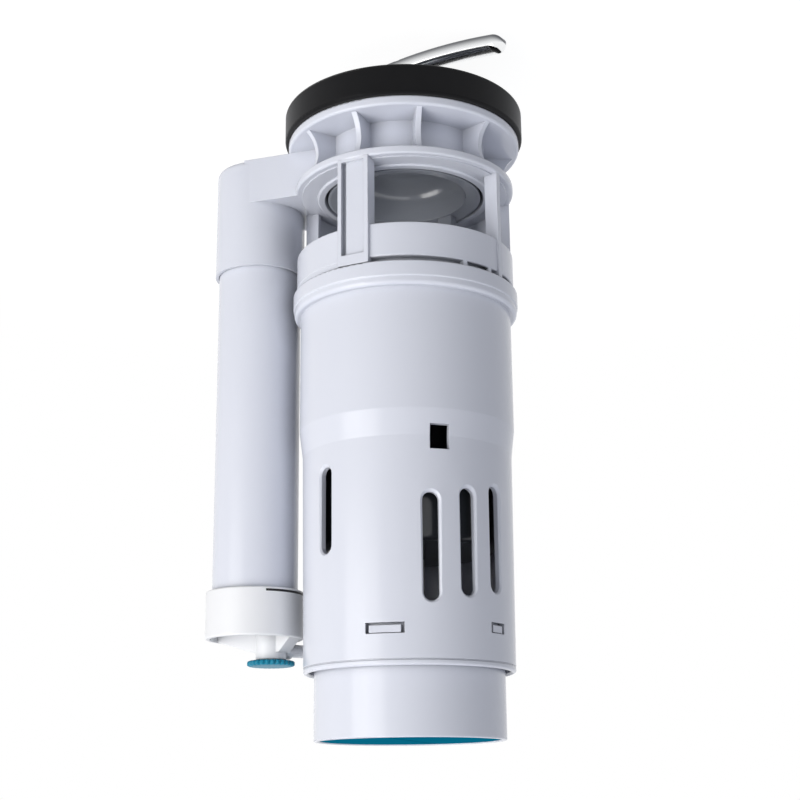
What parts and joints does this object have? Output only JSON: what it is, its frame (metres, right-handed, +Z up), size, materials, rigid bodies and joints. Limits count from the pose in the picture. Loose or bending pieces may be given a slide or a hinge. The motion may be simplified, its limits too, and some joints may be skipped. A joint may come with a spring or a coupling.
{
  "type": "toilet flush valve",
  "caption": "Toilet flush valve: ribbed seat base on a rubber gasket, slotted grey tower with teal flush buttons, and a side overflow tube with refill cap and knob.",
  "frame": {"origin": "centre of the tank gasket's lower face, on the tower's axis", "axes": "+Z up along the tower as it stands in the tank, +X towards the overflow tube"},
  "size_m": [0.147, 0.1088, 0.311],
  "materials": {
    "moulded_grey": "moulded, glossy pale grey",
    "moulded_white": "moulded, glossy white",
    "moulded_teal": "moulded, glossy teal",
    "black_rubber": "moulded, matt",
    "smoke_plastic": "moulded, glossy smoke grey",
    "natural_acetal": "moulded, satin white",
    "polished_steel": "polished",
    "plain_steel": "plain turned and drawn"
  },
  "bodies": {
    "base": {"base": "moulded_grey", "tank_gasket": "black_rubber", "overflow_tube": "moulded_grey", "tube_seal": "black_rubber", "refill_cap": "moulded_white"},
    "bolt": {"draw_bolt": "plain_steel", "bolt_washer": "plain_steel"},
    "clamp": {"clamp_bar": "polished_steel", "clamp_nut": "plain_steel"},
    "regulator": {"refill_knob": "moulded_teal", "regulator_plug": "natural_acetal", "knob_seal": "black_rubber"},
    "tower": {"tower_body": "moulded_grey", "rocker_frame": "natural_acetal", "rocker_pins": "plain_steel", "top_collar": "moulded_grey", "full_spring": "plain_steel", "half_spring": "plain_steel"},
    "full_button": {"full_button": "moulded_teal"},
    "half_button": {"half_button": "moulded_teal"},
    "full_rocker": {"full_rocker": "natural_acetal"},
    "half_rocker": {"half_rocker": "natural_acetal"},
    "core": {"lift_stem": "smoke_plastic", "poppet_bell": "smoke_plastic", "seat_seal": "black_rubber", "seal_plate": "natural_acetal", "seal_nut": "natural_acetal", "full_float": "smoke_plastic"},
    "half_float": {"half_float": "smoke_plastic", "half_rod": "natural_acetal"}
  },
  "joints": [
    {"name": "bolt_turn", "type": "hinge", "parent": "base", "child": "bolt", "pos_m": [0, 0, 0], "axis": [0, 0, -1], "range_deg": [0, 2880]},
    {"name": "clamp_rise", "type": "slide", "parent": "base", "child": "clamp", "axis": [0, 0, 1], "range_m": [0, 0.01002]},
    {"name": "refill_turn", "type": "hinge", "parent": "base", "child": "regulator", "pos_m": [0.063, 0, 0.2459], "axis": [0, 0, 1], "range_deg": [0, 90]},
    {"name": "tower_twist", "type": "hinge", "parent": "base", "child": "tower", "pos_m": [0, 0, 0.0881], "axis": [0, 0, 1], "range_deg": [-25, 0]},
    {"name": "full_press", "type": "slide", "parent": "tower", "child": "full_button", "axis": [0, 0, -1], "range_m": [0, 0.00889], "stiffness_N_per_m": 300, "springref_m": -0.004, "deforming": ["full_spring"]},
    {"name": "half_press", "type": "slide", "parent": "tower", "child": "half_button", "axis": [0, 0, -1], "range_m": [0, 0.00889], "stiffness_N_per_m": 300, "springref_m": -0.004, "deforming": ["half_spring"]},
    {"name": "full_rock", "type": "hinge", "parent": "tower", "child": "full_rocker", "pos_m": [-0.018, 0, 0.2432], "axis": [0, -1, 0], "range_deg": [0, 40.01]},
    {"name": "half_rock", "type": "hinge", "parent": "tower", "child": "half_rocker", "pos_m": [0.018, 0.012, 0.2432], "axis": [0, 1, 0], "range_deg": [0, 40.01]},
    {"name": "core_lift", "type": "slide", "parent": "tower", "child": "core", "axis": [0, 0, 1], "range_m": [0, 0.01231]},
    {"name": "half_lift", "type": "slide", "parent": "core", "child": "half_float", "axis": [0, 0, 1], "range_m": [0, 0.01231]}
  ],
  "couplings": [
    {"joint": "clamp_rise", "follows": "bolt_turn", "m_per_rad": 0.00019894},
    {"joint": "full_rock", "follows": "full_press", "rad_per_m": 78.508},
    {"joint": "core_lift", "follows": "full_press", "ratio": 1.3846},
    {"joint": "half_rock", "follows": "half_press", "rad_per_m": 78.508},
    {"joint": "half_lift", "follows": "half_press", "ratio": 1.3846}
  ]
}
